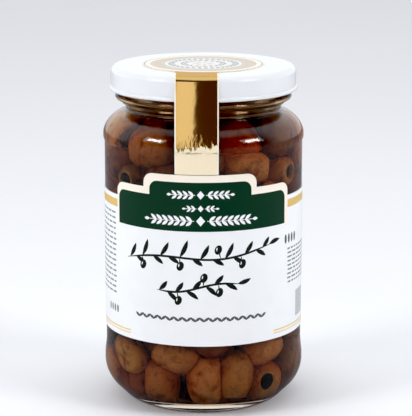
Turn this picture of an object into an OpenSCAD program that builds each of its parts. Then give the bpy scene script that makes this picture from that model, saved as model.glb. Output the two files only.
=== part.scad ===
// Jar of pitted olives in oil: a clear round jar with a white twist-off lid,
// a wrap-around paper label with a stepped top edge, and a foil seal strip that
// runs from a round seal on the lid, over the lid's edge, down to the label.
// Millimetres. +Z is up, -Y is the front, and the origin is the centre of the
// jar's foot ring, on the surface that the jar stands on.

/* [Jar] */
// Height of the glass, from the foot ring to the rim
jar_h = 118.9; // [100:0.1:142]
// Radius of the straight wall that the label is stuck to
body_r = 34.95; // [29:0.05:42]
// Thickness of the side wall
wall = 2.5; // [1.8:0.1:3.2]
// Thickness of the bottom at its thinnest
base_t = 4.5; // [3:0.1:6]
// How far the heel swells out past the label wall
heel_swell = 0.55; // [0.2:0.05:1]
// Height of the widest line of the heel
heel_h = 13.4; // [12:0.1:18]
// How far the bottom is pushed up in the middle
push_up = 3; // [1:0.1:5]
// How far the shoulder swells out past the label wall
shoulder_swell = 0.45; // [0.2:0.05:1]
// Height of the shoulder, from its widest line up to the neck
shoulder_h = 8.6; // [6:0.1:12]

/* [Neck and thread] */
// Radius of the neck at its waist
neck_r = 27.1; // [24.5:0.1:29]
// Distance from the neck's waist up to the rim
finish_h = 14.5; // [13:0.1:18]
// Radius of the mouth
bore_r = 25.2; // [21:0.1:25.6]
// Radius of the straight wall that carries the threads
finish_r = 29.8; // [29.4:0.1:30.2]
// Radius of the handling bead under the lid
bead_r = 31; // [30.4:0.1:32]
// Height of the bead's straight face
bead_h = 1.8; // [1:0.1:2.4]
// Number of thread starts, and of lugs in the lid
starts = 4; // [3:1:6]
// How far a thread stands out from the finish
thread_d = 1.1; // [0.8:0.1:1.2]
// How much each thread slopes, in degrees
thread_slope = 3.5; // [2:0.1:4.5]

/* [Lid] */
// Radius of the lid's side wall
lid_r = 32.6; // [32.4:0.1:34]
// Height of the lid
lid_h = 8.5; // [7.6:0.1:10]
// Thickness of the lacquered tinplate
tin = 0.35; // [0.2:0.05:0.5]
// Radius of the lid's top edge
lid_round = 2.2; // [1.2:0.1:3.2]
// Radius of the rolled rim
curl_r = 0.8; // [0.6:0.05:1]
// How far the rolled rim stands out past the side wall
curl_out = 0.55; // [0.2:0.05:0.7]

/* [Contents] */
// Distance from the rim down to the oil
ullage = 15.9; // [10:0.1:19]
// Space between the oil and the glass
oil_gap = 0.05; // [0.02:0.01:0.2]

/* [Label] */
// Thickness of the label paper
paper = 0.22; // [0.1:0.02:0.4]
// Height of the label's lower edge above the foot
label_z = 26.45; // [20:0.05:32]
// Height of the label at its ends and sides
side_h = 50; // [40:0.5:52]
// Height added by the wide step
step_h = 5; // [2:0.1:6]
// Height added by the middle tab
tab_h = 4.9; // [2:0.1:5.5]
// Half angle of the wide step, in degrees
step_a = 55.5; // [48:0.5:70]
// Half angle of the middle tab, in degrees
tab_a = 31.5; // [20:0.5:40]
// Radius of the steps' upper corners
corner_r = 3.4; // [1:0.1:4]
// Bare glass left between the label's two ends
label_gap = 12; // [4:0.5:60]
// How far the label is turned from the front, in degrees
label_turn = -1; // [-10:0.5:10]

/* [Seal] */
// Width of the foil strip
strip_w = 14.9; // [8:0.1:20]
// How far the strip lies to the left of the middle
strip_left = 2.3; // [-5:0.1:5]
// Thickness of the foil paper
foil = 0.2; // [0.1:0.02:0.3]
// Radius of the round seal on the lid
seal_r = 21.3; // [14:0.1:24]
// Radius of the inner corners between the strip and the round seal
flare_r = 3; // [1:0.1:5]
// Bare glass between the strip's end and the label
strip_end_gap = 0.2; // [0.1:0.1:6]

/* [Hidden] */
$fn = 96;

glue = 0.03;       // space left between paper or foil and what it is stuck to
skew = 1.8;        // exponent of the shoulder's curve: under 2 is flatter than an ellipse
arc_n = 8;         // segments in each arc of a profile
far = 200;         // longer than anything here

// Heights along the jar
neck_z = jar_h - finish_h;
shoulder_z = neck_z - shoulder_h - 0.4;
oil_z = jar_h - ullage;
lid_top = jar_h + tin;
lid_rim_z = lid_top - lid_h;

// Radii
heel_r = body_r + heel_swell;
shoulder_r = body_r + shoulder_swell;
inner_r = body_r - wall;
lid_inner_r = lid_r - tin;
curl_mid_r = lid_r + curl_out - curl_r;

// Heel: a big round, a straight slope and a small round that ends on the foot ring
heel_round = 12;
foot_round = 5;
heel_slope = 45;
slope_drop = heel_h - heel_round * sin(heel_slope) - foot_round * (1 - cos(heel_slope));
foot_r = heel_r - heel_round * (1 - cos(heel_slope)) - slope_drop / tan(heel_slope)
       - foot_round * sin(heel_slope);
foot_flat = 1;     // width of the flat ring that the jar stands on

// Thread and lugs
thread_arc = 0.82 * 360 / starts;
thread_z = lid_rim_z + 2 * curl_r + 1.9;
thread_half = 0.8; // half of a thread's height where it meets the finish
lug_arc = 16;
lug_clear = 0.3;
lug_h = 1.1;

// Label and strip
label_r = body_r + glue;
label_top = label_z + side_h + step_h + tab_h;
strip_foot = label_top + strip_end_gap;

// Points of an arc about [r, z], from angle a0 to a1
function arc(r, z, radius, a0, a1, n = arc_n) =
    [for (i = [0:n]) let (a = a0 + (a1 - a0) * i / n)
        [r + radius * cos(a), z + radius * sin(a)]];

// Points of a shoulder that rises from radius r0 at height z0 towards an axis at
// radius rc, as high as h, and stops where it reaches radius r1
function shoulder_curve(r0, z0, rc, h, r1, n = 12) =
    let (p = 2 / skew, end = acos(pow((r1 - rc) / (r0 - rc), 1 / p)))
    [for (i = [0:n]) let (a = end * i / n)
        [rc + (r0 - rc) * pow(cos(a), p), z0 + h * pow(sin(a), p)]];

// Outside of the shoulder, from its widest line up to the neck
function shoulder() =
    shoulder_curve(shoulder_r, shoulder_z, neck_r - 2.1, shoulder_h, neck_r + 0.5);

// Outside of the glass, from the foot ring up to the rim
function outside() = concat(
    [[foot_r - foot_flat, 0]],
    arc(foot_r, foot_round, foot_round, -90, -heel_slope),
    arc(heel_r - heel_round, heel_h, heel_round, -heel_slope, 0),
    [[body_r, heel_h + 4], [body_r, shoulder_z - 3.5]],
    shoulder(),
    arc(neck_r + 1, neck_z, 1, 200, 135, 4),
    [[bead_r - 0.5, lid_rim_z - 1 - bead_h - 0.4], [bead_r, lid_rim_z - 1 - bead_h],
     [bead_r, lid_rim_z - 1], [finish_r, lid_rim_z - 0.2]],
    arc(finish_r - 1.2, jar_h - 1.2, 1.2, 0, 90, 4));

// Inside of the glass, drawn in by d, from the rim down to the middle of the floor
function inside(d = 0) = concat(
    arc(bore_r + 1, jar_h - 1, 1 + d, 90, 180, 4),
    reverse(shoulder_curve(inner_r + 0.2 - d, shoulder_z - 0.8 - d, bore_r - 2.1 - d,
        shoulder_h - 0.6, bore_r - d)),
    [[inner_r - d, shoulder_z - 4]],
    arc(inner_r - 9, base_t + 10, 9 - d, 0, -80),
    [[12, push_up + base_t - 0.6 + d], [0, push_up + base_t + d]]);

function reverse(list) = [for (i = [len(list) - 1:-1:0]) list[i]];

// Glass jar: hollow, with a pushed-up bottom, a bead and interrupted threads
module jar() {
    color("gainsboro", 0.4) {
        rotate_extrude()
            polygon(concat(outside(), inside(),
                [[0, push_up], [9, push_up - 0.5], [foot_r - foot_flat - 3, 0.8]]));
        for (i = [0:starts - 1]) rotate(-90 + i * 360 / starts) thread();
    }
}

// One thread: a short ring segment, tilted about its own middle and rooted in the glass
module thread() {
    crest = 0.3 * thread_half;
    root = thread_half + (thread_half - crest) / thread_d;
    translate([0, 0, thread_z]) rotate([thread_slope, 0, 0])
        rotate([0, 0, -thread_arc / 2]) rotate_extrude(angle = thread_arc)
            polygon([[finish_r - 1, -root], [finish_r + thread_d, -crest],
                     [finish_r + thread_d, crest], [finish_r - 1, root]]);
}

// Oil, with the olives in it: everything inside the glass up to the oil's level
module oil() {
    color("saddlebrown")
        intersection() {
            rotate_extrude() polygon(concat([[0, jar_h]], inside(oil_gap)));
            cylinder(r = far, h = oil_z);
        }
}

// Twist-off lid: a shallow tinplate cap with a rolled rim and lugs pressed inwards
module lid() {
    color("white") {
        rotate_extrude() {
            polygon(concat([[0, lid_top]],
                reverse(arc(lid_r - lid_round, lid_top - lid_round, lid_round, 0, 90)),
                [[lid_r, lid_rim_z + curl_r], [lid_inner_r, lid_rim_z + curl_r]],
                arc(lid_inner_r - lid_round + tin, lid_top - lid_round, lid_round - tin, 0, 90),
                [[0, jar_h]]));
            translate([curl_mid_r, lid_rim_z + curl_r]) circle(r = curl_r, $fn = 24);
        }
        for (i = [0:starts - 1]) rotate(-90 + i * 360 / starts) lug();
    }
}

// One lug: it grips under the middle of a thread
module lug() {
    top = thread_z - thread_half - lug_clear;
    rotate(-lug_arc / 2) rotate_extrude(angle = lug_arc)
        polygon([[finish_r + 0.4, top], [lid_inner_r + tin / 2, top],
                 [lid_inner_r + tin / 2, top - lug_h], [finish_r + 0.4, top - lug_h]]);
}

// Distance sideways of the point that lies s round the label from its middle
function aside(s) = label_r * sin(s / label_r * 180 / PI);

// A step's right edge, seen from the front: its round corner, and its foot at height z
function step_edge(half_a, top, z) = let (s = half_a * label_r * PI / 180 - corner_r)
    concat([for (p = arc(s, top - corner_r, corner_r, 90, 0, 6)) [aside(p[0]), p[1]]],
        [[aside(s + corner_r), z]]);

// Paper label: a wide band round the jar, with a wide step and a middle tab at the front
module label() {
    side_top = label_z + side_h;
    step_top = side_top + step_h;
    half_all = 180 - label_gap / label_r * 90 / PI;
    right = concat(step_edge(tab_a, label_top, step_top), step_edge(step_a, step_top, side_top),
        [[far, side_top]]);
    left = [for (p = reverse(right)) [-p[0], p[1]]];
    color("white") rotate(label_turn) difference() {
        rotate(-90 - half_all) rotate_extrude(angle = 2 * half_all)
            translate([label_r, label_z]) square([paper, label_top - label_z]);
        rotate([90, 0, 0]) linear_extrude(far)
            polygon(concat(left, right, [[far, far], [-far, far]]));
        translate([-far, -1, side_top]) cube([2 * far, far, far]);
    }
}

// Outline of the foil strip, grown outwards by d: up the glass from the label and over the
// shoulder to where it leaves it, taut to the lid's edge, past the rolled rim, onto the lid
function strip_line(d) =
    let (bend = [lid_r - lid_round, lid_top - lid_round],
         over = [for (p = shoulder()) p + [glue, 0]],
         leans = [for (p = over) atan((p[0] - lid_r - glue) / (bend[1] - p[1]))],
         lean = max(leans), leave = search(lean, leans)[0], low = over[leave],
         high = bend + (lid_round + glue) * [cos(lean), sin(lean)],
         curl_z = lid_rim_z + curl_r,
         past = low[0] + (high[0] - low[0]) * (curl_z - low[1]) / (high[1] - low[1]))
    concat([[body_r + glue + d, strip_foot], [body_r + glue + d, shoulder_z - 3.5]],
        [for (i = [0:leave]) over[i] + [d, 0]],
        [[max(past, curl_mid_r + curl_r + glue) + d, curl_z]],
        arc(bend[0], bend[1], lid_round + glue + d, lean, 90));

// Foil seal: the round seal on the lid and the strip, cut from one piece
module seal() {
    seat = lid_top + glue;
    color("goldenrod") {
        translate([0, 0, seat]) cylinder(r = seal_r, h = foil);
        intersection() {
            rotate_extrude()
                polygon(concat(strip_line(foil), [[10, seat + foil], [10, seat]],
                    reverse(strip_line(0))));
            translate([-strip_left - strip_w / 2, -far, 0]) cube([strip_w, far, far]);
        }
        translate([-strip_left, 0, seat]) linear_extrude(foil) seal_flare();
    }
}

// Web between the strip and the round seal, with a hollow corner on each side
module seal_flare() {
    for (side = [-1, 1]) {
        edge = side * strip_w / 2;
        touch = seal_r + flare_r;
        mid_x = edge + side * flare_r;
        mid_y = -sqrt(touch * touch - pow(mid_x - strip_left, 2));
        rim = [strip_left + (mid_x - strip_left) * seal_r / touch, mid_y * seal_r / touch];
        difference() {
            polygon([[edge - side, mid_y], [edge, mid_y], [mid_x, mid_y], rim,
                     [rim[0], rim[1] + 1], [edge - side, rim[1] + 1]]);
            translate([mid_x, mid_y]) circle(r = flare_r);
        }
    }
}

jar();
oil();
lid();
label();
seal();
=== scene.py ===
# %% [markdown]
# # A jar of pitted olives in oil
#
# This lesson dresses a finished CAD model of a small glass jar. The model is loaded as a
# fixed frame: its boxes give the heights, the radii below repeat its own, and nothing here
# moves it. Blender adds what a CAD model lacks: clear glass, dark oil, soft olives pressed
# against each other, printed paper, foil and lacquer. The sizes of the jar are written in
# millimetres, and become metres only when a mesh is made. The studio's are in metres.

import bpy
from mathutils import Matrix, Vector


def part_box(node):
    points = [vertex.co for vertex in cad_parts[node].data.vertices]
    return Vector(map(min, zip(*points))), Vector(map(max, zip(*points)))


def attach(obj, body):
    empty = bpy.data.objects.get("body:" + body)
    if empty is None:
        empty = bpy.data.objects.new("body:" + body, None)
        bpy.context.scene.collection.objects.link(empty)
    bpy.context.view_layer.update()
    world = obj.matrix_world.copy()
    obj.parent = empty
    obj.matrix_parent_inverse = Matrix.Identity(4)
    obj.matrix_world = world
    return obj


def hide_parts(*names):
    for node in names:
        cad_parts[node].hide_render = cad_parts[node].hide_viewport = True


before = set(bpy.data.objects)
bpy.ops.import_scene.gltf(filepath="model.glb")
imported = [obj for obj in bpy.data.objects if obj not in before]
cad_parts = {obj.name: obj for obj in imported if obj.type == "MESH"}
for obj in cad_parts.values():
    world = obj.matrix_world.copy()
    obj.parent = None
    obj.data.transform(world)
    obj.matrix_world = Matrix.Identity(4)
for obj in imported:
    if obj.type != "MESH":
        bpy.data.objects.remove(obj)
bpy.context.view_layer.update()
print("CAD pieces:", sorted(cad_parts))

# %% Libraries
import math

import bpy
import numpy as np
from mathutils.geometry import delaunay_2d_cdt

MM = 0.001
rng = np.random.default_rng(11)

# %% [markdown]
# ## Two small helpers for colour and nodes
#
# A colour picker and a paint chart give sRGB values, but the shaders work in linear light,
# so each hex colour passes through one function. A second function adds a node, sets its
# properties and links its sockets, which keeps each material readable from top to bottom.
# Some clear materials differ only in their tint and in how strongly they bend light, so
# those share a third function.

# %% Colour
def linear(code, alpha=1.0):
    """A hex colour such as "c8a060" as linear red, green, blue and alpha."""
    parts = [int(code[i:i + 2], 16) / 255 for i in (0, 2, 4)]
    return (*[p / 12.92 if p <= 0.04045 else ((p + 0.055) / 1.055) ** 2.4 for p in parts], alpha)


# %% Nodes
def add(tree, kind, inputs=None, stops=None, **settings):
    """Adds a node. inputs maps sockets to values or to other nodes' outputs."""
    made = tree.nodes.new(kind)
    for name, value in settings.items():
        setattr(made, name, value)
    for socket, value in (inputs or {}).items():
        if isinstance(value, bpy.types.NodeSocket):
            tree.links.new(value, made.inputs[socket])
        else:
            made.inputs[socket].default_value = value
    for i, (place, colour) in enumerate(stops or []):
        points = made.color_ramp.elements
        point = points[i] if i < len(points) else points.new(place)
        point.position, point.color = place, linear(colour)
    return made


def material(name):
    """An empty material: its name, its node tree and its output node."""
    made = bpy.data.materials.new(name)
    made.use_nodes = True
    made.node_tree.nodes.clear()
    return made, made.node_tree, add(made.node_tree, "ShaderNodeOutputMaterial")


def surface(tree, out, inputs):
    """The main shader, linked to the material's output."""
    shader = add(tree, "ShaderNodeBsdfPrincipled", inputs)
    tree.links.new(shader.outputs[0], out.inputs["Surface"])


def clear(name, code, ior):
    """A polished clear material, with a tint and a refractive index."""
    made, tree, out = material(name)
    surface(tree, out, {"Base Color": linear(code), "Roughness": 0.0, "IOR": ior,
                        "Transmission Weight": 1.0})
    return made


# %% [markdown]
# ## How a piece is made
#
# Each visible piece here is a mesh built from lists of points, because a jar, a label and a
# strip all follow exact profiles. The piece rides on the jar's one body and stands for the CAD
# piece of the same place. Edges sharper than 40 degrees stay crisp, and the rest is shaded
# smooth.

# %% Pieces
def piece(name, points, faces, stands_for, materials, kinds=None):
    """A mesh in millimetres as a piece of the jar. kinds is each face's material number."""
    mesh = bpy.data.meshes.new(name)
    mesh.from_pydata([[c * MM for c in p] for p in np.asarray(points, float).tolist()], [], faces)
    for one in materials:
        mesh.materials.append(one)
    if kinds is not None:
        mesh.polygons.foreach_set("material_index", np.asarray(kinds, np.int32))
    mesh.shade_smooth()
    mesh.set_sharp_from_angle(angle=math.radians(40))
    obj = bpy.data.objects.new(name, mesh)
    bpy.context.scene.collection.objects.link(obj)
    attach(obj, "root")
    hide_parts(stands_for)
    print(f"{name}: {len(mesh.vertices)} points, {len(mesh.polygons)} faces")
    return obj


def arc(r, z, radius, start, end, steps=10):
    """Points of a profile's arc about (r, z), between two angles in degrees."""
    return [(r + radius * math.cos(a), z + radius * math.sin(a))
            for a in np.radians(np.linspace(start, end, steps + 1))]


def lathe(profile, around=192):
    """Turns a profile that starts and ends on the axis. Gives points, faces and the row of
    the profile that each face starts from."""
    angles = np.linspace(0, 2 * math.pi, around, endpoint=False)
    points, faces, rows = [(0, 0, profile[0][1])], [], []
    for r, z in profile[1:-1]:
        points += [(r * math.cos(a), r * math.sin(a), z) for a in angles]
    points.append((0, 0, profile[-1][1]))
    last = len(points) - 1
    for row in range(len(profile) - 1):
        for i in range(around):
            j = (i + 1) % around
            low = 1 + (row - 1) * around
            if row == 0:
                face = (0, 1 + j, 1 + i)
            elif row == len(profile) - 2:
                face = (low + i, low + j, last)
            else:
                face = (low + i, low + j, low + around + j, low + around + i)
            faces.append(face)
            rows.append(row)
    return points, faces, np.array(rows)


# %% [markdown]
# ## The glass
#
# The jar is pressed and blown soda-lime glass, clear and nearly colourless. On a real jar
# the mould leaves a heel that swells out a little under the label, a rounded shoulder that
# swells again above it, and a foot ring round a pushed-up bottom. A single skin with a
# Solidify modifier would be quicker, but its wall would be even, and a real jar's is thick
# at the foot and thin at the shoulder. So a closed profile with an outside and an inside is
# turned round the axis, and light bends on its way in and out. The neck's bead is in that
# profile, and its threads are pushed out of the turned surface.
#
# The floor of the jar lies PUSH_UP + BASE_T high. Under it, the bottom is pushed up to DOME,
# more than the CAD's, because a thick bottom would pipe the light of the table forwards.

# %% Sizes of the glass
jar_top, lid_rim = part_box("jar")[1].z / MM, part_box("lid")[0].z / MM
BODY_R, WALL, HEEL_R, SHOULDER_R = 34.95, 2.5, 35.5, 35.4
HEEL_Z, NECK_Z, SHOULDER_Z = 13.4, jar_top - 14.5, jar_top - 23.5
BORE_R, FINISH_R, NECK_R, BEAD_R = 25.2, 29.8, 27.1, 31.0
FOOT_R, PUSH_UP, BASE_T, DOME = 25.0, 3.0, 4.5, 5.8
FOOT_ROUND, HEEL_ROUND, FLOOR_ROUND, RIM_ROUND, LIP_ROUND = 5.0, 12.0, 9.0, 1.2, 1.0
SHOULDER_H, INNER_SHOULDER_H = 8.6, 8.0
SHOULDER_POWER = 1.8
BEAD_TOP = lid_rim - 1
INNER_R = BODY_R - WALL
print("jar top at", round(jar_top, 2), "mm, lid's rim at", round(lid_rim, 2), "mm")


# %% Rounded stretches of the profile
def shoulder(r0, z0, centre_r, height, r1, steps=28):
    """A shoulder from radius r0 at height z0 in to radius r1, a little slacker than an
    ellipse, whose power would be 2."""
    power = 2 / SHOULDER_POWER
    end = math.acos(((r1 - centre_r) / (r0 - centre_r)) ** (1 / power))
    return [(centre_r + (r0 - centre_r) * math.cos(a) ** power, z0 + height * math.sin(a) ** power)
            for a in np.linspace(0, end, steps + 1)]


def ease(r0, z0, r1, z1, steps=6):
    """A soft S from one point to another."""
    return [(r0 + (r1 - r0) * (1 - math.cos(math.pi * t)) / 2, z0 + (z1 - z0) * t)
            for t in np.linspace(0, 1, steps + 1)]


outer_shoulder = shoulder(SHOULDER_R, SHOULDER_Z, NECK_R - 2.1, SHOULDER_H, NECK_R + 0.5)


# %% The inner and the outer face
def inside(d=0.0):
    """The glass's inner face, from the middle of the floor up to the rim, grown by d."""
    floor_z = PUSH_UP + BASE_T - d
    floor = [(0, floor_z), (6, floor_z - 0.2), (12, floor_z - 0.6)]
    side = arc(INNER_R - FLOOR_ROUND, BASE_T + 10, FLOOR_ROUND + d, -80, 0, 16)
    side += [(INNER_R + d, z) for z in (30, 60, SHOULDER_Z - 4)]
    return floor + side + shoulder(INNER_R + 0.2 + d, SHOULDER_Z - 0.8 + d, BORE_R - 2.1 + d,
                                   INNER_SHOULDER_H, BORE_R + d)


def outside():
    """The glass's outer face, from the middle of the bottom up to the rim."""
    foot = [(0, DOME), (9, DOME - 0.3), (15, DOME - 1.3), (19, DOME - 3.2), (22, 0.8),
            (FOOT_R - 1.6, 0.12), (FOOT_R - 1, 0)]
    heel = arc(FOOT_R, FOOT_ROUND, FOOT_ROUND, -90, -45, 8)
    heel += arc(HEEL_R - HEEL_ROUND, HEEL_Z, HEEL_ROUND, -45, 0, 14)[1:]
    body = ease(HEEL_R, HEEL_Z + 0.8, BODY_R, HEEL_Z + 8, 10) + [(BODY_R, 40), (BODY_R, 65)]
    top = ease(BODY_R, SHOULDER_Z - 2.7, SHOULDER_R, SHOULDER_Z - 1.2) + outer_shoulder
    neck = arc(NECK_R + 1, NECK_Z, 1, 200, 135, 5)
    neck += [(BEAD_R - 1.4, BEAD_TOP - 2.5), (BEAD_R - 0.35, BEAD_TOP - 2.0), (BEAD_R, BEAD_TOP - 1.5),
             (BEAD_R, BEAD_TOP - 0.35), (BEAD_R - 0.3, BEAD_TOP - 0.05),
             (FINISH_R + 0.15, BEAD_TOP + 0.45)]
    finish = [(FINISH_R, z) for z in np.arange(BEAD_TOP + 0.8, jar_top - 1.3, 0.3)]
    finish += arc(FINISH_R - RIM_ROUND, jar_top - RIM_ROUND, RIM_ROUND, 0, 90, 5)
    return foot + heel + body + top + neck + finish


lip = arc(BORE_R + LIP_ROUND, jar_top - LIP_ROUND, LIP_ROUND, 90, 180, 5)
glass_profile = outside() + lip + list(reversed(inside()))
print("glass profile:", len(glass_profile), "points, inside radius", INNER_R, "mm")

# %% The neck's threads
THREADS, THREAD_Z, THREAD_OUT = 4, lid_rim + 3.5, 1.1
THREAD_SLOPE, THREAD_HALF_TURN, THREAD_END = 3.5, 36.9, 5


def threads(points):
    """Pushes sloping, interrupted threads out of the neck. Each one's angles are in degrees."""
    p = np.array(points, float)
    turn = np.degrees(np.arctan2(p[:, 1], p[:, 0]))
    apart = 360 / THREADS
    along = (turn + 90 + apart / 2) % apart - apart / 2
    middle = THREAD_Z + FINISH_R * np.sin(np.radians(along)) * math.sin(math.radians(THREAD_SLOPE))
    rise = np.clip(1.25 - np.abs(p[:, 2] - middle) / 0.8, 0, 1)
    rise *= np.clip((THREAD_HALF_TURN - np.abs(along)) / THREAD_END, 0, 1)
    radius = np.hypot(p[:, 0], p[:, 1])
    on_finish = np.abs(radius - FINISH_R) < 1e-6
    p[on_finish, :2] *= (1 + THREAD_OUT * rise[on_finish] / FINISH_R)[:, None]
    return p


# %% [markdown]
# Glass that touches air bends light strongly, but glass that touches oil hardly does,
# because the two have nearly the same refractive index: 1.52 and 1.47. Where the oil wets
# the jar, the inner face gets the ratio of the two, 1.034. That is why olives look as if
# they touch the outside of a full jar, with no ghost reflections between. The neck keeps a
# brown film of oil from when the jar was last tilted. It is too thin to model, so both
# faces of the neck are tinted with it instead.

# %% Soda-lime glass
DRY, WETTED, FILMED = range(3)
glasses = [clear("soda_lime_glass", "fbfdfb", 1.52), clear("soda_lime_glass_wetted_by_oil", "fbfdfb", 1.034),
           clear("soda_lime_glass_filmed_with_oil", "cca87c", 1.52)]
points, faces, rows = lathe(glass_profile)
first_inner = len(outside() + lip) - 1
touched = [FILMED if glass_profile[row][1] > NECK_Z - 1 else DRY if row < first_inner else WETTED
           for row in rows]
piece("jar_glass", threads(points), faces, "jar", glasses, touched)

# %% [markdown]
# ## The oil
#
# The olives lie in olive oil that has taken up their brown. Its colour comes from depth:
# each millimetre takes a little red, more green and most of the blue, so thin oil at the
# wall looks amber and deep oil looks black-brown. A plain absorbing volume does this. Its
# walls reach a tenth of a millimetre into the glass, so there is no film of air, and they
# bend nothing, as the glass has done that already. The free surface is a separate sheet
# that bends and mirrors light as oil does, and climbs the glass in a small meniscus.

# %% Olive oil
oil, tree, out = material("olive_oil")
surface(tree, out, {"Base Color": (1, 1, 1, 1), "Roughness": 0.0, "IOR": 1.0,
                    "Transmission Weight": 1.0})
depth = add(tree, "ShaderNodeVolumeAbsorption", {"Color": (0.80, 0.42, 0.0, 1), "Density": 170.0})
tree.links.new(depth.outputs[0], out.inputs["Volume"])

# %% The oil's body and its free surface
OIL_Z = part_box("oil")[1].z / MM
INTO_WALL, OVER_OIL, AROUND = 0.1, 0.02, 128
MENISCUS, CLIMB = 1.0, 1.6
filled = [p for p in inside(INTO_WALL) if p[1] < OIL_Z - 0.1]
points, faces, _ = lathe(filled + [(BORE_R + INTO_WALL, OIL_Z), (0, OIL_Z)], AROUND)
level = [(r, OIL_Z + OVER_OIL + MENISCUS * math.exp((r - BORE_R) / CLIMB))
         for r in [0, 8, 14, 18, 20, 21.5, 22.6, 23.4, 24, 24.5, 24.9, BORE_R + INTO_WALL]]
sheet, sheet_faces, rows = lathe(level + [(0, OIL_Z)], AROUND)
sheet_faces = [tuple(len(points) + v for v in reversed(face))
               for face, row in zip(sheet_faces, rows) if row < len(level) - 1]
piece("oil", points + sheet[:-1], faces + sheet_faces, "oil",
      [oil, clear("olive_oil_surface", "fff4d8", 1.47)], [0] * len(faces) + [1] * len(sheet_faces))

# %% [markdown]
# ## The olives
#
# Small brown olives, pitted: a punch has left a round hole at one end and a small scar at
# the other. They are packed so tightly that they press each other flat. Blender's rigid
# bodies could pack them, but as hard shapes, with gaps between. So a few are set where they
# show best, against the front of the glass, and the rest are let loose: each is three soft
# balls in a row, and all of them push each other apart and off the glass until they settle.
# At the front, the loose ones have their holes turned inwards, so that only the set ones
# show theirs. Then the true olive shape is put in each place, and where two would cut into
# each other, both give way to the middle.

# %% Set olives
# angle round the jar from the front, height, distance of the middle from the axis,
# direction of the pit hole as (out of the jar, round the jar to the right, up), tint.
# Tints 7 and 8 are painted light: 7 lightens an olive just above the label that lies in
# shade, and 8 paints amber light from behind through the oil on the olive at the left shoulder.
SET_OLIVES = [
    (-20, 20.8, 26.2, (0.05, -0.97, 0.22), 6), (-57, 18.6, 27.0, (-0.2, -0.9, 0.4), 4),
    (-53, 8.6, 24.0, (-0.1, -0.35, -0.93), 3), (-31.5, 11.3, 24.9, (0.05, 0.1, 1.0), 0),
    (2, 13.4, 25.6, (0.04, 0.04, 1.0), 6), (22.5, 14.6, 26.6, (0.0, -0.05, -1.0), 2),
    (45, 21.9, 26.2, (0.15, 0.93, 0.3), 6), (49.5, 10.2, 24.2, (0.88, -0.47, 0.08), 2),
    (72, 15.5, 26.6, (0.05, 0.25, 1.0), 5), (-38, 92.4, 26.2, (0.0, -1.0, 0.0), 0),
    (-68, 88.0, 26.0, (0.1, 0.5, 0.86), 3), (-54.5, 81.8, 24.5, (1.0, 0.05, 0.0), 5),
    (31, 87.2, 26.0, (0.25, 0.95, -0.1), 7), (60, 83.6, 24.8, (0.97, 0.2, 0.05), 2),
    (30, 90.0, 19.5, (0.0, 1.0, 0.1), 6), (-76, 96.0, 25.6, (0.1, -0.6, 0.8), 8),
    (-24, 83.2, 25.6, (0.1, 0.95, -0.3), 5), (90, 90.6, 26.4, (0.0, 0.4, 0.9), 6),
    (66, 95.6, 25.4, (0.05, 0.9, 0.4), 5),
]
HALF_LONG, HALF_WIDE, BLUNT = 8.5, 6.1, 2.25
TOTAL, FILL_Z = 170, 96.8
print("olives set by hand:", len(SET_OLIVES), "of", TOTAL)


def direction(turn, out_part, round_part, up_part):
    """A unit vector from its parts out of the jar, round it and up."""
    a = math.radians(turn)
    v = np.array([out_part * math.sin(a) + round_part * math.cos(a),
                  -out_part * math.cos(a) + round_part * math.sin(a), up_part])
    return v / np.linalg.norm(v)


# %% The room there is for olives
inner = np.array(inside())
wall_z, wall_r = inner[3:, 1], inner[3:, 0]


def keep_inside(p, r):
    """How far balls of radius r at p have to move to lie inside the glass and the oil."""
    radius = np.hypot(p[:, 0], p[:, 1]) + 1e-9
    reach = np.interp(p[:, 2], wall_z, wall_r)
    move = np.zeros_like(p)
    over = np.maximum(radius + r - reach, 0)
    move[:, :2] = -p[:, :2] / radius[:, None] * over[:, None]
    floor = np.interp(radius, [0, 12, 25, 29, 32.4], [7.5, 6.9, 5.7, 7.2, 14.0])
    move[:, 2] = np.maximum(floor + r - p[:, 2], 0) - np.maximum(p[:, 2] + r - FILL_Z, 0)
    return move


# %% Loose olives settle
END_BALL, MIDDLE_BALL = 0.82, 0.97


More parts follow.
